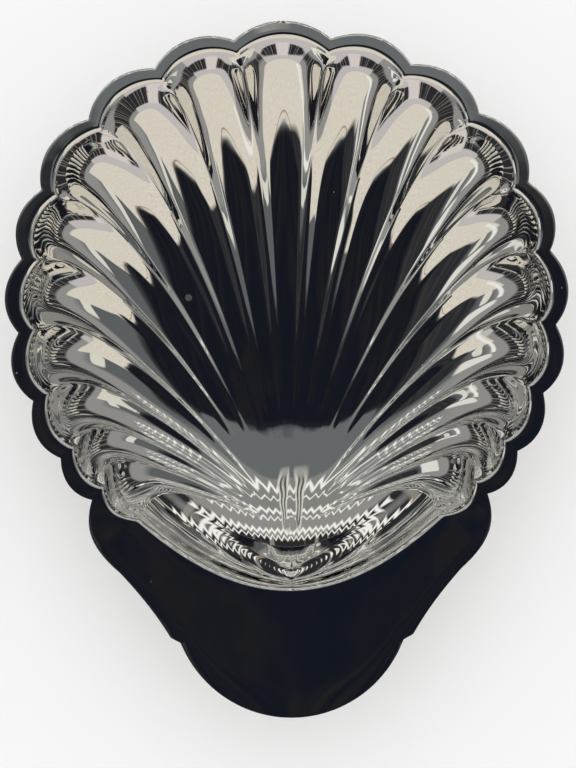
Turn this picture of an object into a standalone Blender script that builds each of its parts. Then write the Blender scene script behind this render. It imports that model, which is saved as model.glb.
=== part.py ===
"""Scallop-shell serving dish, pressed from one polished silver-plated sheet.

A fluted fan-shaped bowl, a narrow flat rim that follows the lobes, and a flat
tab with rounded ears at the hinge. Metres, +Z up. The fan spreads
towards +Y and the hinge tab points to -Y.
"""
import math

import bmesh
import bpy
import numpy as np

# Fan outline: the hollows between the lobes lie on a circle, which opens out
# towards the hinge
FAN_RADIUS = 0.121
FAN_CENTRE_Y = 0.056
FLARE_START_DEG = 80.0
FLARE_REACH_DEG = 60.0
FLARE_WIDTH = 0.0143
FLARE_POWER = 1.5
CENTRE_LOBE_DEG = 22.2
SIDE_LOBES_DEG = (19.2, 19.2, 19.6, 16.5, 16.6, 14.8, 12.7, 10.0)
LOBE_BULGE = 0.175

# Front of the bowl, from the last hollow to the middle of the hinge
FRONT_Y = -0.0955
FRONT_SHOULDER_OUT = 0.066
FRONT_SHOULDER_Y = -0.068
FRONT_FLAT = 0.036
END_LOBE_SHARE = 0.24
END_LOBE_BULGE = 0.0048

# Depth of the bowl
BOWL_DEPTH = 0.050
HINGE_DROP = 0.006
HINGE_DROP_START_Y = 0.020
BOTTOM_Y = -0.005
FLAT_SHARE = 0.14
FAR_STEEPNESS = 3.3
HINGE_STEEPNESS = 2.5
UMBO_Y = -0.0666

# Flutes: the ridges leave the rim, bend twice and run together at the hinge
OUTER_BEND_Y = -0.0152
OUTER_BEND_OUT = 0.1000
OUTER_BEND_BACK = 0.1701
OUTER_BEND_TURN = 0.62
INNER_BEND_Y = -0.0545
INNER_BEND_OUT = 0.0082
INNER_BEND_BACK = 0.0153
INNER_BEND_TURN = 0.70
LOBE_FADE = 2.4
WIDE_LOBE = 0.041

# Cross-section of the flutes: a scooped wall each side of a hollow near the rim,
# and a low round ridge all the way down
SCOOP_HEIGHT = 0.0050
SCOOP_WIDTH = 0.45
SCOOP_START = 0.14
SCOOP_END = 0.28
RIDGE_HEIGHT = 0.0017
RIDGE_WIDTH = 0.22
RIDGE_START = 0.06
RIDGE_ROOT = 0.40
RIDGE_FADE = 2.4

# Rim and hinge tab
SHEET = 0.0015
SHOULDER_WIDTH = 0.0030
SHOULDER_DROP = 0.0019
FLANGE_WIDTH = 0.0093
EAR_OUT = 0.0030
EAR_DROP = 0.0108
EAR_LOW = 0.096
EAR_LOW_Y = -0.075
WAIST_OUT = 0.080
WAIST_Y = -0.0885
FLANK_HOLLOW = 0.0013
STEP_OUT = 0.056
STEP_Y = -0.1188
STEP_IN = 0.0039
STEP_FALL = 0.0027
END_RADIUS = 0.0557
END_CENTRE_Y = -0.0998

# Mesh steps
LOBE_STEPS = 8
END_LOBE_STEPS = 5
EAR_STEPS = 7
FLANK_STEPS = 5
END_STEPS = 8
BOWL_ROWS = (0.0, 0.04, 0.08, 0.13, 0.19, 0.27, 0.36, 0.45, 0.54, 0.62, 0.67, 0.72)
SHOULDER_ROWS = (0.33, 0.67, 1.0)
TANGENT_STEP = 0.01
MERGE_DISTANCE = 0.00001

SILVER_COLOR = (0.80, 0.79, 0.77, 1.0)
SILVER_ROUGHNESS = 0.06

NAME = "shell_dish"


def smooth_step(value):
    value = min(max(value, 0.0), 1.0)
    return value * value * (3.0 - 2.0 * value)


def bezier(points, t):
    """Point at t on a Bezier curve through any number of control points."""
    points = [np.asarray(point, dtype=float) for point in points]
    while len(points) > 1:
        points = [(1.0 - t) * a + t * b for a, b in zip(points, points[1:])]
    return points[0]


def outward(angle):
    """Unit vector in plan at an angle from the fan's middle line."""
    return np.array([math.sin(angle), math.cos(angle)])


def hollow_radius(angle):
    """Distance from the fan's centre to the line through the hollows."""
    past = (math.degrees(angle) - FLARE_START_DEG) / FLARE_REACH_DEG
    return FAN_RADIUS + FLARE_WIDTH * max(past, 0.0) ** FLARE_POWER


def hollow_point(angle):
    return np.array([0.0, FAN_CENTRE_Y]) + hollow_radius(angle) * outward(angle)


def rim_level(y):
    """Height of the rim, which dips a little towards the hinge."""
    return -HINGE_DROP * smooth_step((HINGE_DROP_START_Y - y) / (HINGE_DROP_START_Y - FRONT_Y))


def bend_points(angle):
    """Two control points that bend a flute line, for the angle where it leaves the rim."""
    outer = OUTER_BEND_TURN * angle
    inner = INNER_BEND_TURN * angle
    return (
        np.array([OUTER_BEND_OUT * math.sin(outer), OUTER_BEND_Y + OUTER_BEND_BACK * math.cos(outer)]),
        np.array([INNER_BEND_OUT * math.sin(inner), INNER_BEND_Y + INNER_BEND_BACK * math.cos(inner)]),
    )


class Column:
    """One line of the sheet, from the umbo out over the rim to the outer edge."""

    def __init__(self, start, bends, lobe, edge, side, width):
        self.start = start
        self.bends = bends
        self.lobe = lobe
        self.edge = edge
        self.side = side
        self.width = width

    def base(self, t):
        return bezier((self.start, *self.bends, (0.0, UMBO_Y)), t)


def fan_columns():
    """Columns over the right half of the fan, from its middle line to the last hollow."""
    columns = []
    lobe_start = -math.radians(CENTRE_LOBE_DEG) / 2.0
    for index, span_deg in enumerate((CENTRE_LOBE_DEG,) + SIDE_LOBES_DEG):
        span = math.radians(span_deg)
        first = LOBE_STEPS // 2 if index == 0 else 0
        for step in range(first, LOBE_STEPS):
            side = 2.0 * step / LOBE_STEPS - 1.0
            angle = lobe_start + span * step / LOBE_STEPS
            chord = hollow_radius(angle) * span
            lobe = outward(angle) * LOBE_BULGE * chord * (1.0 - side * side)
            start = hollow_point(angle)
            edge = start + lobe + outward(angle) * FLANGE_WIDTH
            columns.append(Column(start, bend_points(angle), lobe, edge, side, chord))
        lobe_start += span
    return columns, lobe_start


def tab_outline(start):
    """Outer edge of the hinge tab, from the last hollow to the middle of its end."""
    waist = (WAIST_OUT, WAIST_Y)
    step = (STEP_OUT, STEP_Y)
    ear = (start, (start[0] + EAR_OUT, start[1] - EAR_DROP), (EAR_LOW, EAR_LOW_Y), waist)
    hollow = ((waist[0] + step[0]) / 2.0 - 2.0 * FLANK_HOLLOW, (waist[1] + step[1]) / 2.0)
    points = [bezier(ear, index / EAR_STEPS) for index in range(EAR_STEPS)]
    points += [bezier((waist, hollow, step), index / FLANK_STEPS) for index in range(FLANK_STEPS)]
    points.append(np.array(step))
    foot = (STEP_OUT - STEP_IN, STEP_Y - STEP_FALL)
    begin = math.atan2(foot[1] - END_CENTRE_Y, foot[0])
    for index in range(END_STEPS + 1):
        angle = begin + (-math.pi / 2.0 - begin) * index / END_STEPS
        points.append(np.array([END_RADIUS * math.cos(angle), END_CENTRE_Y + END_RADIUS * math.sin(angle)]))
    return points


def front_columns(last_angle):
    """Columns from the last hollow along the front of the bowl to the hinge's middle."""
    last = hollow_point(last_angle)
    rim = (last, (FRONT_SHOULDER_OUT, FRONT_SHOULDER_Y), (FRONT_FLAT, FRONT_Y), (0.0, FRONT_Y))
    outline = tab_outline(last + outward(last_angle) * FLANGE_WIDTH)
    last_bends = bend_points(last_angle)
    middle_bends = [np.array([0.0, y]) for y in np.linspace(FRONT_Y, UMBO_Y, 4)[1:3]]
    columns = []
    steps = len(outline) - 1
    for index, edge in enumerate(outline):
        if index < END_LOBE_STEPS:
            share = END_LOBE_SHARE * index / END_LOBE_STEPS
        else:
            past_lobe = (index - END_LOBE_STEPS) / (steps - END_LOBE_STEPS)
            share = END_LOBE_SHARE + (1.0 - END_LOBE_SHARE) * past_lobe
        start = bezier(rim, share)
        ahead = bezier(rim, share + TANGENT_STEP) - bezier(rim, share - TANGENT_STEP)
        normal = np.array([-ahead[1], ahead[0]]) / np.linalg.norm(ahead)
        across = min(share / END_LOBE_SHARE, 1.0)
        lobe = normal * END_LOBE_BULGE * math.sin(math.pi * across)
        bends = [last * (1.0 - share) + middle * share for last, middle in zip(last_bends, middle_bends)]
        side = min(-1.0 + across, 0.0)
        columns.append(Column(start, bends, lobe, edge, side, WIDE_LOBE / 2.0))
    return columns


def bowl_height(point, directions, reaches):
    """Height of the smooth bowl at a point in plan, and how far out it lies (1 at the rim)."""
    away = point - np.array([0.0, BOTTOM_Y])
    direction = math.atan2(abs(away[0]), away[1])
    reach = np.interp(direction, directions, reaches)
    share = min(np.linalg.norm(away) / reach, 1.0)
    climb = max(share - FLAT_SHARE, 0.0) / (1.0 - FLAT_SHARE)
    towards_fan = (1.0 + math.cos(direction)) / 2.0
    steepness = HINGE_STEEPNESS + (FAR_STEEPNESS - HINGE_STEEPNESS) * math.sqrt(towards_fan)
    level = rim_level(BOTTOM_Y + reach * math.cos(direction)) - SHOULDER_DROP
    return -BOWL_DEPTH + (BOWL_DEPTH + level) * climb ** steepness, climb


def bell(side, width):
    """1 on the line between two flutes, falling off round on both sides of it."""
    return math.exp(-((1.0 - abs(side)) / width) ** 2)


def flute_rise(column, t, climb):
    """How far the flutes stand above the smooth bowl."""
    scoop = SCOOP_HEIGHT * bell(column.side, SCOOP_WIDTH)
    scoop *= smooth_step(t / SCOOP_START) * smooth_step((SCOOP_END - t) / (SCOOP_END - SCOOP_START))
    ridge = RIDGE_HEIGHT * bell(column.side, RIDGE_WIDTH)
    ridge *= smooth_step(t / RIDGE_START) * smooth_step(climb / RIDGE_ROOT) * (1.0 - t) ** RIDGE_FADE
    return (scoop + ridge) * column.width / WIDE_LOBE


def bowl_points(column, directions, reaches):
    """Points down one flute line, from the rim to just short of the umbo."""
    points = []
    for t in BOWL_ROWS:
        base = column.base(t)
        height, climb = bowl_height(base, directions, reaches)
        plan = base + column.lobe * (1.0 - t) ** LOBE_FADE
        points.append((plan[0], plan[1], height + flute_rise(column, t, climb)))
    return points


def rim_points(column):
    """Points up the round shoulder and out over the flat flange or tab to its edge."""
    rim = column.start + column.lobe
    level = rim_level(rim[1])
    length = np.linalg.norm(column.edge - rim)
    along = (column.edge - rim) / length
    points = []
    for distance in [SHOULDER_WIDTH * row for row in SHOULDER_ROWS] + [length]:
        plan = rim + along * distance
        drop = SHOULDER_DROP * max(1.0 - distance / SHOULDER_WIDTH, 0.0) ** 2
        points.append((plan[0], plan[1], level - drop))
    return points


def sheet_mesh():
    """Upper face of the right half of the sheet, as a grid of columns that meet at the umbo."""
    columns, last_angle = fan_columns()
    columns += front_columns(last_angle)
    away = [column.start - np.array([0.0, BOTTOM_Y]) for column in columns]
    directions = [math.atan2(vector[0], vector[1]) for vector in away]
    reaches = [float(np.linalg.norm(vector)) for vector in away]

    mesh = bpy.data.meshes.new(NAME)
    bm = bmesh.new()
    umbo_height, _ = bowl_height(np.array([0.0, UMBO_Y]), directions, reaches)
    umbo = bm.verts.new((0.0, UMBO_Y, umbo_height))
    grid = []
    for column in columns:
        line = list(reversed(rim_points(column))) + bowl_points(column, directions, reaches)
        grid.append([bm.verts.new(point) for point in line])
    for left, right in zip(grid, grid[1:]):
        for row in range(len(left) - 1):
            bm.faces.new((left[row], left[row + 1], right[row + 1], right[row]))
        bm.faces.new((left[-1], umbo, right[-1]))
    bm.to_mesh(mesh)
    bm.free()
    return mesh


def silver_plate():
    """Mirror-polished silver plate."""
    material = bpy.data.materials.new("silver_plate")
    material.use_nodes = True
    shader = material.node_tree.nodes["Principled BSDF"]
    shader.inputs["Base Color"].default_value = SILVER_COLOR
    shader.inputs["Metallic"].default_value = 1.0
    shader.inputs["Roughness"].default_value = SILVER_ROUGHNESS
    return material


def stand_on_origin(dish):
    """Move the mesh so that the middle of its base is the origin."""
    evaluated = dish.evaluated_get(bpy.context.evaluated_depsgraph_get())
    corners = np.array([corner[:] for corner in evaluated.bound_box])
    low, high = corners.min(axis=0), corners.max(axis=0)
    middle = (low + high) / 2.0
    for vertex in dish.data.vertices:
        vertex.co.y -= middle[1]
        vertex.co.z -= low[2]


def add_dish(collection):
    dish = bpy.data.objects.new(NAME, sheet_mesh())
    collection.objects.link(dish)
    dish.data.materials.append(silver_plate())
    mirror = dish.modifiers.new("other_half", "MIRROR")
    mirror.use_axis = (True, False, False)
    mirror.merge_threshold = MERGE_DISTANCE
    solidify = dish.modifiers.new("sheet", "SOLIDIFY")
    solidify.thickness = SHEET
    solidify.offset = -1.0
    solidify.use_quality_normals = True
    stand_on_origin(dish)
    dish.data.shade_smooth()
    return dish


def main():
    for item in list(bpy.data.objects):
        bpy.data.objects.remove(item, do_unlink=True)
    collection = bpy.data.collections.new("scallop_dish")
    bpy.context.scene.collection.children.link(collection)
    add_dish(collection)


main()
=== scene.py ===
"""Scallop-shell serving dish in polished silver plate, dressed for a studio picture.

One pressed sheet: a fluted fan-shaped bowl, a narrow flat rim that follows the lobes, and a flat
eared tab at the hinge. Metres, +Z up, the hinge tab towards -Y.
"""
import math

import bpy
import numpy as np
from mathutils import Matrix, Vector


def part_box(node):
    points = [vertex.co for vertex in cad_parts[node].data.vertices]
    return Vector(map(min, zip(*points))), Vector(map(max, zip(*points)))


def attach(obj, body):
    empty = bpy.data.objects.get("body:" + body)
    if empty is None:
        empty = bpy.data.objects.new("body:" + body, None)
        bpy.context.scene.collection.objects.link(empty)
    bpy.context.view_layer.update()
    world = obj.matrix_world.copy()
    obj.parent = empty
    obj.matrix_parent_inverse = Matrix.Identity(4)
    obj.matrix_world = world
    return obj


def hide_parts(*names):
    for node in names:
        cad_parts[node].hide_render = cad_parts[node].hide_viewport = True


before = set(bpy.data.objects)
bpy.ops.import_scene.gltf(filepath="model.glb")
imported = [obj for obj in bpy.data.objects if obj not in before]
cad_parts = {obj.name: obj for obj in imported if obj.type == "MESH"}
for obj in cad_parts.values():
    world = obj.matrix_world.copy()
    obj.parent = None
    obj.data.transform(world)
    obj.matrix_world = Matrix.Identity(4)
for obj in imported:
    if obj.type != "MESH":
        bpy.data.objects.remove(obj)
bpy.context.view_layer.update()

DISH = "shell_dish"

# Fan outline, as in the part: the hollows between the lobes and the lobes' own swell
FAN_RADIUS = 0.121
FAN_CENTRE_Y = 0.056
FLARE_START_DEG = 80.0
FLARE_REACH_DEG = 60.0
FLARE_WIDTH = 0.0143
FLARE_POWER = 1.5
CENTRE_LOBE_DEG = 22.2
SIDE_LOBES_DEG = (19.2, 19.2, 19.6, 16.5, 16.6, 14.8, 12.7, 10.0)
LOBE_BULGE = 0.175

# Front of the bowl
FRONT_Y = -0.0955
FRONT_SHOULDER_OUT = 0.066
FRONT_SHOULDER_Y = -0.068
FRONT_FLAT = 0.036
END_LOBE_SHARE = 0.24
END_LOBE_BULGE = 0.0048

# Depth of the bowl
BOWL_DEPTH = 0.050
HINGE_DROP = 0.006
HINGE_DROP_START_Y = 0.020
BOTTOM_Y = -0.005
FLAT_SHARE = 0.14
FAR_STEEPNESS = 3.3
HINGE_STEEPNESS = 2.5
UMBO_Y = -0.0666
BASIN_RISE = 0.0030
BASIN_START_Y = 0.006
BASIN_LENGTH = 0.051

# Flutes: the ridges leave the rim, bend twice and run together at the hinge
OUTER_BEND_Y = -0.0152
OUTER_BEND_OUT = 0.1000
OUTER_BEND_BACK = 0.1701
OUTER_BEND_TURN = 0.62
INNER_BEND_Y = -0.0545
INNER_BEND_OUT = 0.0082
INNER_BEND_BACK = 0.0153
INNER_BEND_TURN = 0.70
LOBE_FADE = 1.7
LOBE_LAST = 0.50
LOBE_END = 0.80

# Cross-section of the flutes: scooped hollows near the rim, then flat channels with round ridges
# between them
SCOOP_SLOPE = 0.85
SCOOP_SINK = 0.45
SCOOP_START = 0.07
SCOOP_END = 0.34
RIDGE_SLOPE = 0.42
RIDGE_WIDTH = 0.40
RIDGE_ROUND = 1.6
RIDGE_START = 0.10
RIDGE_FULL = 0.30
RIDGE_FADE_START = 0.38
RIDGE_FADE_END = 0.72

# Rim and hinge tab
SHEET = 0.0015
SHOULDER_WIDTH = 0.0030
SHOULDER_DROP = 0.0019
FLANGE_WIDTH = 0.0093
EAR_OUT = 0.0030
EAR_DROP = 0.0108
EAR_LOW = 0.096
EAR_LOW_Y = -0.075
WAIST_OUT = 0.080
WAIST_Y = -0.0885
FLANK_HOLLOW = 0.0013
STEP_OUT = 0.056
STEP_Y = -0.1188
STEP_IN = 0.0039
STEP_FALL = 0.0027
END_RADIUS = 0.0557
END_CENTRE_Y = -0.0998

# Mesh steps, finer than the part's
LOBE_STEPS = 24
END_LOBE_STEPS = 15
EAR_STEPS = 21
FLANK_STEPS = 15
END_STEPS = 24
BOWL_STEPS = 76
LAST_ROW = 0.93
SHOULDER_ROWS = 8
TAB_ROWS = 4
TANGENT_STEP = 0.01
EDGE_ROUND = 0.0004

# Wear: faint waves and hairline scratches in the polish, specks of dust, and a dried drop on the
# left slope. Rates are per metre
WAVE_RATE = 55.0
WAVE_HEIGHT = 0.00012
HAIR_RATES = (900.0, 25.0, 25.0)
HAIR_TURN = (0.0, 0.0, 0.5)
HAIR_DEPTH = 0.0000012
SMUDGE_RATE = 38.0
DUST_RATE = 230.0
SILVER_BRIGHT = (0.88, 0.87, 0.85, 1.0)
SILVER_DULL = (0.83, 0.82, 0.79, 1.0)
DUST_COLOUR = (0.75, 0.76, 0.74, 1.0)
POLISH_ROUGHNESS = 0.02
DRIED_DROP = (-0.0515, 0.041, 0.0)
DRIED_DROP_RADIUS = 0.0020
DRIED_DROP_STRENGTH = 0.45

# Mirrored room, in degrees: rows of lamps by their place and half width, and the zigzag they make
LAMP_ROWS = ((36.0, 1.1), (42.0, 0.6), (53.0, 1.4), (59.0, 0.7), (70.0, 1.5), (75.0, 0.8))
LAMP_REACH = 44.0
ZIGZAG_WIDTH = 1.6
ZIGZAG_SLOPE = 2.2

FLOOR_HALF = 3.0
FLOOR_WHITE = (0.96, 0.96, 0.96, 1.0)

# Camera, from the photograph: how high it looks from, how far away, and the size of a pixel on the rim
CAMERA_ELEVATION = math.radians(75.0)
CAMERA_DISTANCE = 0.650
PIXEL = 0.00048
CAMERA_ROLL = math.radians(-0.9)
PICTURE_HEIGHT = 768
SENSOR = 0.036


def smooth_step(value):
    """Smooth rise from 0 to 1 as the value goes from 0 to 1."""
    value = min(max(value, 0.0), 1.0)
    return value * value * (3.0 - 2.0 * value)


def bezier(points, t):
    """Point at t on a Bezier curve through any number of control points."""
    points = [np.asarray(point, dtype=float) for point in points]
    while len(points) > 1:
        points = [(1.0 - t) * a + t * b for a, b in zip(points, points[1:])]
    return points[0]


def outward(angle):
    """Unit vector in plan at an angle from the fan's middle line."""
    return np.array([math.sin(angle), math.cos(angle)])


def hollow_radius(angle):
    """How far the hollows between the lobes lie from the fan's centre, wider towards the hinge."""
    past = (math.degrees(angle) - FLARE_START_DEG) / FLARE_REACH_DEG
    return FAN_RADIUS + FLARE_WIDTH * max(past, 0.0) ** FLARE_POWER


def hollow_point(angle):
    """Point in plan on the line through the hollows."""
    return np.array([0.0, FAN_CENTRE_Y]) + hollow_radius(angle) * outward(angle)


def rim_level(y):
    """Height of the rim, which dips a little towards the hinge."""
    return -HINGE_DROP * smooth_step((HINGE_DROP_START_Y - y) / (HINGE_DROP_START_Y - FRONT_Y))


def bend_points(angle):
    """Two control points that bend a flute line, for the angle where it leaves the rim."""
    outer = OUTER_BEND_TURN * angle
    inner = INNER_BEND_TURN * angle
    return (
        np.array([OUTER_BEND_OUT * math.sin(outer), OUTER_BEND_Y + OUTER_BEND_BACK * math.cos(outer)]),
        np.array([INNER_BEND_OUT * math.sin(inner), INNER_BEND_Y + INNER_BEND_BACK * math.cos(inner)]),
    )


def flute_line(start, bends, t):
    """Point in plan on a flute line, from the rim at 0 to the umbo at 1."""
    return bezier((start, *bends, (0.0, UMBO_Y)), t)


class Column:
    """One line of the sheet, from the umbo out over the rim to the outer edge."""

    def __init__(self, start, bends, lobe, edge, side, borders):
        self.start = start
        self.bends = bends
        self.lobe = lobe
        self.edge = edge
        self.side = side
        self.borders = borders

    def base(self, t):
        """Point in plan on the line before the lobe is pushed out."""
        return flute_line(self.start, self.bends, t)

    def half_width(self, t):
        """Half the distance between the two ridges that this line runs between."""
        near, far = self.borders
        return np.linalg.norm(flute_line(*near, t) - flute_line(*far, t)) / 2.0


def fan_columns():
    """Columns over the right half of the fan, from its middle line to the last hollow."""
    columns = []
    lobe_start = -math.radians(CENTRE_LOBE_DEG) / 2.0
    for index, span_deg in enumerate((CENTRE_LOBE_DEG,) + SIDE_LOBES_DEG):
        span = math.radians(span_deg)
        ends = (lobe_start, lobe_start + span)
        borders = [(hollow_point(angle), bend_points(angle)) for angle in ends]
        first = LOBE_STEPS // 2 if index == 0 else 0
        for step in range(first, LOBE_STEPS):
            side = 2.0 * step / LOBE_STEPS - 1.0
            angle = lobe_start + span * step / LOBE_STEPS
            chord = hollow_radius(angle) * span
            lobe = outward(angle) * LOBE_BULGE * chord * (1.0 - side * side)
            start = hollow_point(angle)
            edge = start + lobe + outward(angle) * FLANGE_WIDTH
            columns.append(Column(start, bend_points(angle), lobe, edge, side, borders))
        lobe_start += span
    return columns, lobe_start


def tab_outline(start):
    """Outer edge of the hinge tab, from the last hollow to the middle of its end."""
    waist = (WAIST_OUT, WAIST_Y)
    step = (STEP_OUT, STEP_Y)
    ear = (start, (start[0] + EAR_OUT, start[1] - EAR_DROP), (EAR_LOW, EAR_LOW_Y), waist)
    hollow = ((waist[0] + step[0]) / 2.0 - 2.0 * FLANK_HOLLOW, (waist[1] + step[1]) / 2.0)
    points = [bezier(ear, index / EAR_STEPS) for index in range(EAR_STEPS)]
    points += [bezier((waist, hollow, step), index / FLANK_STEPS) for index in range(FLANK_STEPS)]
    points.append(np.array(step))
    foot = (STEP_OUT - STEP_IN, STEP_Y - STEP_FALL)
    begin = math.atan2(foot[1] - END_CENTRE_Y, foot[0])
    for index in range(END_STEPS + 1):
        angle = begin + (-math.pi / 2.0 - begin) * index / END_STEPS
        out = END_RADIUS * math.cos(angle)
        points.append(np.array([out, END_CENTRE_Y + END_RADIUS * math.sin(angle)]))
    return points


def front_columns(last_angle):
    """Columns from the last hollow along the front of the bowl to the hinge's middle."""
    last = hollow_point(last_angle)
    rim = (last, (FRONT_SHOULDER_OUT, FRONT_SHOULDER_Y), (FRONT_FLAT, FRONT_Y), (0.0, FRONT_Y))
    outline = tab_outline(last + outward(last_angle) * FLANGE_WIDTH)
    last_bends = bend_points(last_angle)
    middle_bends = [np.array([0.0, y]) for y in np.linspace(FRONT_Y, UMBO_Y, 4)[1:3]]
    lobe_end = [
        first * (1.0 - END_LOBE_SHARE) + middle * END_LOBE_SHARE
        for first, middle in zip(last_bends, middle_bends)
    ]
    borders = [(last, last_bends), (bezier(rim, END_LOBE_SHARE), lobe_end)]
    columns = []
    steps = len(outline) - 1
    for index, edge in enumerate(outline):
        if index < END_LOBE_STEPS:
            share = END_LOBE_SHARE * index / END_LOBE_STEPS
        else:
            past_lobe = (index - END_LOBE_STEPS) / (steps - END_LOBE_STEPS)
            share = END_LOBE_SHARE + (1.0 - END_LOBE_SHARE) * past_lobe
        start = bezier(rim, share)
        ahead = bezier(rim, share + TANGENT_STEP) - bezier(rim, share - TANGENT_STEP)
        normal = np.array([-ahead[1], ahead[0]]) / np.linalg.norm(ahead)
        across = min(share / END_LOBE_SHARE, 1.0)
        lobe = normal * END_LOBE_BULGE * math.sin(math.pi * across)
        bends = [
            first * (1.0 - share) + middle * share
            for first, middle in zip(last_bends, middle_bends)
        ]
        side = min(-1.0 + across, 0.0)
        columns.append(Column(start, bends, lobe, edge, side, borders))
    return columns


def bowl_height(point, directions, reaches):
    """Height of the smooth bowl at a point in plan."""
    away = point - np.array([0.0, BOTTOM_Y])
    direction = math.atan2(abs(away[0]), away[1])
    reach = np.interp(direction, directions, reaches)
    share = min(np.linalg.norm(away) / reach, 1.0)
    climb = max(share - FLAT_SHARE, 0.0) / (1.0 - FLAT_SHARE)
    towards_fan = (1.0 + math.cos(direction)) / 2.0
    steepness = HINGE_STEEPNESS + (FAR_STEEPNESS - HINGE_STEEPNESS) * math.sqrt(towards_fan)
    level = rim_level(BOTTOM_Y + reach * math.cos(direction)) - SHOULDER_DROP
    basin = BASIN_RISE * smooth_step((BASIN_START_Y - point[1]) / BASIN_LENGTH)
    return -BOWL_DEPTH + basin + (BOWL_DEPTH + level - basin) * climb ** steepness


def rim_rows(column):
    """Points from the outer edge over the flat flange and the round shoulder to the rim line."""
    rim = column.start + column.lobe
    length = np.linalg.norm(column.edge - rim)
    along = (column.edge - rim) / length
    level = rim_level(rim[1])
    flat = length - SHOULDER_WIDTH
    distances = [SHOULDER_WIDTH * row / SHOULDER_ROWS for row in range(1, SHOULDER_ROWS + 1)]
    distances += [SHOULDER_WIDTH + flat * row / TAB_ROWS for row in range(1, TAB_ROWS + 1)]
    rows = []
    for distance in reversed(distances):
        plan = rim + along * distance
        drop = SHOULDER_DROP * max(1.0 - distance / SHOULDER_WIDTH, 0.0) ** 2
        rows.append((plan[0], plan[1], level - drop))
    return rows


def bowl_rows(column, directions, reaches):
    """Points down the inside, from the rim to just short of the umbo, each with its t."""
    rows = []
    for step in range(BOWL_STEPS + 1):
        t = LAST_ROW * step / BOWL_STEPS
        plan = column.base(t)
        rows.append((plan[0], plan[1], bowl_height(plan, directions, reaches), t))
    return rows


def cage_column(column, directions, reaches):
    """One column of the smooth cage: its points, how far down each lies and its flute's half width."""
    points, down, half = [], [], []
    for x, y, z in rim_rows(column):
        points.append((x - column.lobe[0], y - column.lobe[1], z))
        down.append(0.0)
        half.append(column.half_width(0.0))
    for x, y, z, t in bowl_rows(column, directions, reaches):
        points.append((x, y, z))
        down.append(t)
        half.append(column.half_width(t))
    return points, down, half


def flute_cage():
    """The sheet without its flutes: a ring of columns that meet at the umbo, with attributes."""
    columns, last_angle = fan_columns()
    columns += front_columns(last_angle)
    away = [column.start - np.array([0.0, BOTTOM_Y]) for column in columns]
    directions = [math.atan2(vector[0], vector[1]) for vector in away]
    reaches = [float(np.linalg.norm(vector)) for vector in away]

    points, down, half, side, push = [], [], [], [], []
    ring = [(column, 1.0) for column in columns] + [(column, -1.0) for column in columns[-2:0:-1]]
    for column, hand in ring:
        line, line_down, line_half = cage_column(column, directions, reaches)
        points += [(hand * x, y, z) for x, y, z in line]
        down += line_down
        half += line_half
        side += [column.side] * len(line)
        push += [(hand * column.lobe[0], column.lobe[1], 0.0)] * len(line)
    rows = len(line)
    points.append((0.0, UMBO_Y, bowl_height(np.array([0.0, UMBO_Y]), directions, reaches)))
    down.append(1.0)
    half.append(0.0)
    side.append(0.0)
    push.append((0.0, 0.0, 0.0))

    faces = []
    count = len(ring)
    for index in range(count):
        left, right = index * rows, (index + 1) % count * rows
        for row in range(rows - 1):
            faces.append((left + row, left + row + 1, right + row + 1, right + row))
        faces.append((left + rows - 1, len(points) - 1, right + rows - 1))
    mesh = bpy.data.meshes.new("flute_cage")
    mesh.from_pydata(points, [], faces)
    for name, values in (("down", down), ("half", half), ("side", side)):
        mesh.attributes.new(name, "FLOAT", "POINT").data.foreach_set("value", values)
    mesh.attributes.new("push", "FLOAT_VECTOR", "POINT").data.foreach_set("vector", np.ravel(push))
    return mesh


class NodeDesk:
    """Short words for building a node tree."""

    def __init__(self, tree):
        self.tree = tree

    def add(self, kind, values=(), **settings):
        """A node with its settings; values are (socket, constant or another node's output)."""
        node = self.tree.nodes.new(kind)
        for name, value in settings.items():
            setattr(node, name, value)
        for socket, value in values:
            if isinstance(value, bpy.types.NodeSocket):
                self.tree.links.new(value, node.inputs[socket])
            else:
                node.inputs[socket].default_value = value
        return node

    def math(self, operation, *values):
        """Result of one sum on numbers."""
        values = [(index, value) for index, value in enumerate(values)]
        return self.add("ShaderNodeMath", values, operation=operation).outputs[0]

    def vector(self, operation, *values):
        """Result of one sum on vectors."""
        values = [(index, value) for index, value in enumerate(values)]
        return self.add("ShaderNodeVectorMath", values, operation=operation).outputs[0]

    def attribute(self, name, kind="FLOAT"):
        """A named attribute of the mesh."""
        named = self.add("GeometryNodeInputNamedAttribute", [("Name", name)], data_type=kind)
        return named.outputs[0]

    def ramp(self, value, low, high):
        """Smooth rise from 0 at low to 1 at high."""
        sockets = [(0, value), (1, low), (2, high)]
        return self.add("ShaderNodeMapRange", sockets, interpolation_type="SMOOTHSTEP").outputs[0]

    def product(self, *values):
        """All the values multiplied."""
        result = values[0]
        for value in values[1:]:
            result = self.math("MULTIPLY", result, value)
        return result

    def noise(self, place, rate, detail):
        """Soft noise at a place, changing at this rate."""
        sockets = [("Vector", place), ("Scale", rate), ("Detail", detail)]
        return self.add("ShaderNodeTexNoise", sockets).outputs[0]

    def mix(self, share, colour, other):
        """Blend from one colour to the other by the share."""
        sockets = [(0, share), (6, colour), (7, other)]
        return self.add("ShaderNodeMix", sockets, data_type="RGBA").outputs[2]


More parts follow.
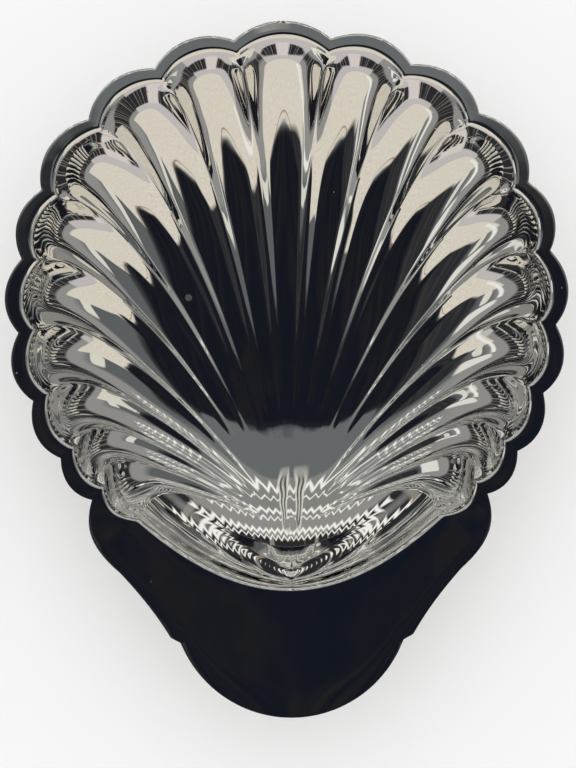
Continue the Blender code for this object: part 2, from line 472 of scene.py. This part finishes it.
def press_flutes_tree():
    """Geometry nodes that press the lobes and the ridges between them into the smooth cage."""
    tree = bpy.data.node_groups.new("press_flutes", "GeometryNodeTree")
    face = tree.interface
    face.new_socket("Geometry", in_out="INPUT", socket_type="NodeSocketGeometry")
    sizes = (
        ("Scoop slope", SCOOP_SLOPE),
        ("Scoop sink", SCOOP_SINK),
        ("Scoop start", SCOOP_START),
        ("Scoop end", SCOOP_END),
        ("Ridge slope", RIDGE_SLOPE),
        ("Ridge width", RIDGE_WIDTH),
        ("Ridge round", RIDGE_ROUND),
        ("Ridge start", RIDGE_START),
        ("Ridge full", RIDGE_FULL),
        ("Fade start", RIDGE_FADE_START),
        ("Fade end", RIDGE_FADE_END),
        ("Lobe fade", LOBE_FADE),
        ("Lobe last", LOBE_LAST),
        ("Lobe end", LOBE_END),
    )
    for name, value in sizes:
        face.new_socket(name, in_out="INPUT", socket_type="NodeSocketFloat").default_value = value
    face.new_socket("Finish", in_out="INPUT", socket_type="NodeSocketMaterial")
    face.new_socket("Geometry", in_out="OUTPUT", socket_type="NodeSocketGeometry")

    desk = NodeDesk(tree)
    given = desk.add("NodeGroupInput").outputs
    down, half, side = (desk.attribute(name) for name in ("down", "half", "side"))
    push = desk.attribute("push", "FLOAT_VECTOR")

    up_left = desk.math("SUBTRACT", 1.0, down)
    kept = desk.math("POWER", up_left, given["Lobe fade"])
    kept = desk.product(kept, desk.ramp(down, given["Lobe end"], given["Lobe last"]))
    lobe = desk.vector("MULTIPLY", push, kept)
    off_line = desk.math("SUBTRACT", 1.0, desk.math("ABSOLUTE", side))

    scoop = desk.math("POWER", desk.math("SUBTRACT", 1.0, off_line), 2.0)
    scoop = desk.math("SUBTRACT", scoop, given["Scoop sink"])
    scoop = desk.product(scoop, given["Scoop slope"], 0.5)
    scoop = desk.product(scoop, desk.ramp(down, 0.0, given["Scoop start"]))
    scoop = desk.product(scoop, desk.ramp(down, given["Scoop end"], given["Scoop start"]))

    bead = desk.math("POWER", desk.math("DIVIDE", off_line, given["Ridge width"]), given["Ridge round"])
    bead = desk.math("MAXIMUM", desk.math("SUBTRACT", 1.0, bead), 0.0)
    bead = desk.product(bead, given["Ridge slope"], given["Ridge width"])
    bead = desk.math("DIVIDE", bead, given["Ridge round"])
    bead = desk.product(bead, desk.ramp(down, given["Ridge start"], given["Ridge full"]))
    bead = desk.product(bead, desk.ramp(down, given["Fade end"], given["Fade start"]))
    rise = desk.product(desk.math("ADD", scoop, bead), half)
    lift = desk.add("ShaderNodeCombineXYZ", [("Z", rise)]).outputs[0]
    offset = desk.vector("ADD", lobe, lift)
    sockets = [("Geometry", given["Geometry"]), ("Offset", offset)]
    pressed = desk.add("GeometryNodeSetPosition", sockets)
    plain = desk.add("GeometryNodeRealizeInstances", [("Geometry", pressed.outputs[0])])
    sockets = [("Geometry", plain.outputs[0]), ("Material", given["Finish"])]
    dressed = desk.add("GeometryNodeSetMaterial", sockets)
    desk.add("NodeGroupOutput", [("Geometry", dressed.outputs[0])])
    return tree


def plain_mesh(cage, tree, finish, name):
    """The cage after its tree, as a mesh of its own."""
    carrier = bpy.data.objects.new(name + "_cage", cage)
    bpy.context.scene.collection.objects.link(carrier)
    modifier = carrier.modifiers.new("flutes", "NODES")
    modifier.node_group = tree
    for item in tree.interface.items_tree:
        if item.in_out == "INPUT" and item.name == "Finish":
            modifier[item.identifier] = finish
    pressed = carrier.evaluated_get(bpy.context.evaluated_depsgraph_get())
    mesh = bpy.data.meshes.new_from_object(pressed)
    bpy.data.objects.remove(carrier, do_unlink=True)
    mesh.name = name
    return mesh


def set_in_frame(mesh):
    """Move the mesh from the part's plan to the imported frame; returns how far along y it went."""
    low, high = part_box(DISH)
    points = np.empty(len(mesh.vertices) * 3)
    mesh.vertices.foreach_get("co", points)
    points = points.reshape(-1, 3)
    shift = (high[1] + low[1] - points[:, 1].max() - points[:, 1].min()) / 2.0
    points[:, 1] += shift
    points[:, 2] += low[2] + SHEET + BOWL_DEPTH
    mesh.vertices.foreach_set("co", points.ravel())
    mesh.update()
    return shift


def silver_dish(finish):
    """The whole dish, one sheet with a rounded edge; returns how far the plan was shifted."""
    mesh = plain_mesh(flute_cage(), press_flutes_tree(), finish, "silver_dish")
    plan_shift = set_in_frame(mesh)
    mesh.shade_smooth()
    dish = bpy.data.objects.new("silver_dish", mesh)
    bpy.context.scene.collection.objects.link(dish)
    wall = dish.modifiers.new("sheet", "SOLIDIFY")
    wall.thickness = SHEET
    wall.offset = -1.0
    wall.use_quality_normals = True
    rounding = dish.modifiers.new("rounded_edge", "BEVEL")
    rounding.width = EDGE_ROUND
    rounding.segments = 2
    rounding.limit_method = "ANGLE"
    rounding.angle_limit = math.radians(60.0)
    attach(dish, "root")
    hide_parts(DISH)
    return plan_shift


def silver_plate():
    """Polished plate with hairline scratches, faint waves, specks of dust and one dried drop."""
    material = bpy.data.materials.new("silver_plate")
    material.use_nodes = True
    desk = NodeDesk(material.node_tree)
    shader = material.node_tree.nodes["Principled BSDF"]
    shader.inputs["Metallic"].default_value = 1.0
    place = desk.add("ShaderNodeTexCoord").outputs["Object"]

    hairs = [("Vector", place), ("Rotation", HAIR_TURN), ("Scale", HAIR_RATES)]
    hairs = desk.noise(desk.add("ShaderNodeMapping", hairs).outputs[0], 1.0, 3.0)
    smudges = desk.noise(place, SMUDGE_RATE, 4.0)
    worn = desk.math("MULTIPLY", desk.ramp(hairs, 0.60, 0.80), desk.ramp(smudges, 0.40, 0.65))
    specks = desk.add("ShaderNodeTexVoronoi", [("Vector", place), ("Scale", DUST_RATE)])
    chosen = desk.add("ShaderNodeSeparateColor", [(0, specks.outputs["Color"])]).outputs[0]
    small = desk.ramp(specks.outputs["Distance"], 0.11, 0.07)
    dust = desk.math("MULTIPLY", small, desk.ramp(chosen, 0.955, 0.965))
    from_drop = desk.vector("SUBTRACT", place, DRIED_DROP)
    from_drop = desk.vector("MULTIPLY", from_drop, (1.0, 1.0, 0.0))
    from_drop = desk.add("ShaderNodeVectorMath", [(0, from_drop)], operation="LENGTH")
    drop = desk.ramp(from_drop.outputs["Value"], DRIED_DROP_RADIUS, DRIED_DROP_RADIUS * 0.85)
    marks = desk.math("MAXIMUM", dust, desk.math("MULTIPLY", drop, DRIED_DROP_STRENGTH))

    tint = desk.mix(smudges, SILVER_BRIGHT, SILVER_DULL)
    colour = desk.mix(marks, tint, DUST_COLOUR)
    desk.tree.links.new(colour, shader.inputs["Base Color"])
    rough = desk.math("ADD", POLISH_ROUGHNESS, desk.math("MULTIPLY", worn, 0.05))
    rough = desk.math("MAXIMUM", rough, desk.math("MULTIPLY", marks, 0.6))
    desk.tree.links.new(rough, shader.inputs["Roughness"])

    waves = desk.math("MULTIPLY", desk.noise(place, WAVE_RATE, 1.0), WAVE_HEIGHT)
    relief = desk.math("ADD", waves, desk.math("MULTIPLY", worn, -HAIR_DEPTH))
    bump = desk.add("ShaderNodeBump", [("Height", relief), ("Distance", 1.0)]).outputs[0]
    desk.tree.links.new(bump, shader.inputs["Normal"])
    return material


def srgb(*tones):
    """Linear colour, with its alpha, of picture tones from 0 to 255."""
    linear = [((tone / 255.0 + 0.055) / 1.055) ** 2.4 for tone in tones]
    return (*linear, 1.0)


class Room:
    """What stands round the dish, by direction: degrees from straight up, to the right and away."""

    def __init__(self, tree, colour):
        self.desk = NodeDesk(tree)
        desk = self.desk
        way = desk.add("ShaderNodeTexCoord").outputs["Generated"]
        axis = desk.add("ShaderNodeSeparateXYZ", [(0, way)]).outputs
        self.steep = desk.math("DEGREES", desk.math("ARCCOSINE", axis[2]))
        self.turn = desk.math("DEGREES", desk.math("ARCTAN2", axis[0], axis[1]))
        squares = [desk.math("POWER", side, 2.0) for side in (axis[0], axis[1])]
        flat = desk.math("SQRT", desk.math("ADD", *squares))
        flat = desk.math("MAXIMUM", flat, 0.0001)
        self.right = desk.math("MULTIPLY", desk.math("DIVIDE", axis[0], flat), self.steep)
        self.away = desk.math("MULTIPLY", desk.math("DIVIDE", axis[1], flat), self.steep)
        self.colour = colour

    def step(self, value, low, high):
        """Straight rise from 0 at low to 1 at high."""
        return self.desk.add("ShaderNodeMapRange", [(0, value), (1, low), (2, high)]).outputs[0]

    def between(self, value, low, high, soft):
        """1 where value lies between low and high, with soft edges."""
        up = self.step(value, low - soft, low + soft)
        down = self.step(value, high - soft, high + soft)
        return self.desk.math("SUBTRACT", up, down)

    def oval(self, right, away, reach_right, reach_away, soft):
        """1 inside an oval patch of the room."""
        desk = self.desk
        across = desk.math("DIVIDE", desk.math("SUBTRACT", self.right, right), reach_right)
        along = desk.math("DIVIDE", desk.math("SUBTRACT", self.away, away), reach_away)
        across = desk.math("POWER", desk.math("ABSOLUTE", across), 4.0)
        along = desk.math("POWER", desk.math("ABSOLUTE", along), 4.0)
        size = desk.math("POWER", desk.math("ADD", across, along), 0.25)
        return self.step(size, 1.0 + soft, 1.0 - soft)

    def lamp_row(self, away, half):
        """1 on a thin zigzag row of lamps that runs from left to right."""
        desk = self.desk
        zigzag = desk.product(desk.math("PINGPONG", self.right, ZIGZAG_WIDTH), ZIGZAG_SLOPE)
        place = desk.math("SUBTRACT", self.away, zigzag)
        return desk.product(
            self.between(self.right, -LAMP_REACH, LAMP_REACH, 1.0),
            self.between(place, away - half, away + half, half / 2.0),
        )

    def grain(self, across, along):
        """Noise that changes at these rates per degree to the right and away."""
        desk = self.desk
        place = [(0, desk.math("MULTIPLY", self.right, across))]
        place += [(1, desk.math("MULTIPLY", self.away, along))]
        place = desk.add("ShaderNodeCombineXYZ", place).outputs[0]
        return desk.ramp(desk.noise(place, 1.0, 4.0), 0.35, 0.70)

    def posts(self, rate):
        """Upright light stripes round the room, changing at this rate per degree of turn."""
        desk = self.desk
        place = [(0, desk.math("MULTIPLY", self.turn, rate))]
        place = desk.add("ShaderNodeCombineXYZ", place).outputs[0]
        return desk.ramp(desk.noise(place, 1.0, 3.0), 0.54, 0.60)

    def panel(self, turn_low, turn_high, steep_low, steep_high, soft):
        """1 inside a panel that stands round the dish."""
        return self.desk.product(
            self.between(self.turn, turn_low, turn_high, soft),
            self.between(self.steep, steep_low, steep_high, soft),
        )

    def panels_behind(self, left, right, steep_low, steep_high, soft):
        """The two halves of a panel behind the camera, from this far left to this far right."""
        return (
            self.panel(right, 181.0, steep_low, steep_high, soft),
            self.panel(-181.0, left, steep_low, steep_high, soft),
        )

    def paint(self, colour, *shares):
        """Lay a colour over what is there, by each share in turn."""
        for share in shares:
            self.colour = self.desk.mix(share, self.colour, colour)


def studio_room():
    """What the silver mirrors; the floor and the empty background see plain white."""
    world = bpy.data.worlds.new("studio_room")
    world.use_nodes = True
    bpy.context.scene.world = world
    tree = world.node_tree
    tree.nodes.clear()
    room = Room(tree, srgb(150, 150, 148))
    desk = room.desk
    grain = room.grain(0.6, 0.6)
    streaks = room.grain(0.33, 0.02)

    # Grey wall ahead, a striped band low down all round, and the rows of lamps
    room.paint(srgb(138, 140, 138), room.oval(-12.0, 42.0, 34.0, 16.0, 0.10))
    striped = desk.mix(room.posts(0.30), srgb(46, 46, 50), srgb(146, 138, 130))
    room.paint(striped, room.between(room.steep, 77.0, 96.0, 1.5))
    for away, half in LAMP_ROWS:
        room.paint(srgb(255, 255, 250), room.lamp_row(away, half))

    # Grey round the dark ceiling, and bright windows at its sides
    room.paint(srgb(98, 102, 104), room.oval(0.0, 2.0, 58.0, 28.0, 0.08))
    room.paint(srgb(232, 232, 226), room.oval(-52.0, 20.0, 9.0, 8.0, 0.10))
    room.paint(srgb(226, 224, 214), room.oval(52.0, 0.0, 4.0, 18.0, 0.10))
    room.paint(srgb(226, 224, 214), room.oval(-51.0, -6.0, 3.0, 14.0, 0.10))

    # Cream card behind the camera, a thin brown line along it and pale panels below it
    card = desk.mix(grain, srgb(232, 226, 213), srgb(214, 208, 196))
    card_right, card_left = room.panels_behind(-110.0, 100.0, 27.0, 68.0, 1.0)
    line_right, line_left = room.panels_behind(-110.0, 100.0, 29.6, 30.3, 0.3)
    room.paint(card, card_right)
    room.paint(srgb(164, 140, 112), line_right)
    room.paint(card, card_left)
    room.paint(srgb(164, 140, 112), line_left)
    room.paint(srgb(200, 196, 196), *room.panels_behind(-130.0, 130.0, 68.0, 80.0, 1.0))
    room.paint(srgb(222, 214, 212), *room.panels_behind(-168.0, 168.0, 78.0, 94.0, 1.5))
    room.paint(srgb(245, 245, 240), room.panel(-136.0, -80.0, 61.0, 65.0, 0.8))

    # Dark ceiling, darker in the middle
    ceiling = desk.mix(streaks, srgb(40, 43, 48), srgb(62, 60, 60))
    room.paint(ceiling, room.oval(-8.0, 0.5, 36.0, 25.0, 0.05))
    ceiling = desk.mix(streaks, srgb(19, 24, 35), srgb(34, 33, 36))
    room.paint(ceiling, room.oval(2.0, -1.0, 22.0, 23.0, 0.08))

    # Grey that fills the basin, and a tall pale arch over it
    room.paint(srgb(108, 112, 114), room.oval(0.0, 28.0, 8.0, 6.0, 0.08))
    room.paint(srgb(222, 222, 214), room.oval(-0.8, 51.0, 1.7, 20.0, 0.10))
    room.paint(srgb(84, 86, 88), room.oval(-0.8, 50.0, 1.0, 18.0, 0.10))
    room.paint(srgb(210, 208, 196), room.oval(-0.8, 49.0, 0.35, 15.0, 0.20))

    rays = desk.add("ShaderNodeLightPath").outputs
    mirrored = desk.add("ShaderNodeBackground", [("Color", room.colour)]).outputs[0]
    plain = desk.add("ShaderNodeBackground", [("Color", (1.0, 1.0, 1.0, 1.0))]).outputs[0]
    shaders = [(0, rays["Is Glossy Ray"]), (1, plain), (2, mirrored)]
    either = desk.add("ShaderNodeMixShader", shaders).outputs[0]
    desk.add("ShaderNodeOutputWorld", [("Surface", either)])


def pale_floor():
    """A wide pale floor that keeps the dish's shadow."""
    mesh = bpy.data.meshes.new("pale_floor")
    signs = ((-1.0, -1.0), (1.0, -1.0), (1.0, 1.0), (-1.0, 1.0))
    corners = [(FLOOR_HALF * x, FLOOR_HALF * y, 0.0) for x, y in signs]
    mesh.from_pydata(corners, [], [(0, 1, 2, 3)])
    floor = bpy.data.objects.new("pale_floor", mesh)
    bpy.context.scene.collection.objects.link(floor)
    material = bpy.data.materials.new("pale_floor")
    material.use_nodes = True
    shader = material.node_tree.nodes["Principled BSDF"]
    shader.inputs["Base Color"].default_value = FLOOR_WHITE
    shader.inputs["Roughness"].default_value = 0.9
    mesh.materials.append(material)


def camera_over_tab(aim):
    """The photograph's view: from above the hinge tab, looking down into the bowl."""
    data = bpy.data.cameras.new("camera")
    camera = bpy.data.objects.new("camera", data)
    bpy.context.scene.collection.objects.link(camera)
    away = Vector((0.0, -math.cos(CAMERA_ELEVATION), math.sin(CAMERA_ELEVATION))) * CAMERA_DISTANCE
    turn = (-away).to_track_quat("-Z", "Y").to_matrix().to_4x4()
    camera.matrix_world = Matrix.Translation(aim + away) @ turn @ Matrix.Rotation(CAMERA_ROLL, 4, "Z")
    data.sensor_width = SENSOR * 1000.0
    data.lens = SENSOR * 1000.0 * CAMERA_DISTANCE / PIXEL / PICTURE_HEIGHT
    bpy.context.scene.camera = camera


def main():
    """The dish, its floor and room, and the camera that aims at the rim's level."""
    bpy.context.scene.view_settings.view_transform = "Standard"
    plan_shift = silver_dish(silver_plate())
    pale_floor()
    studio_room()
    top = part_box(DISH)[1][2]
    camera_over_tab(Vector((0.0, plan_shift, top)))


main()
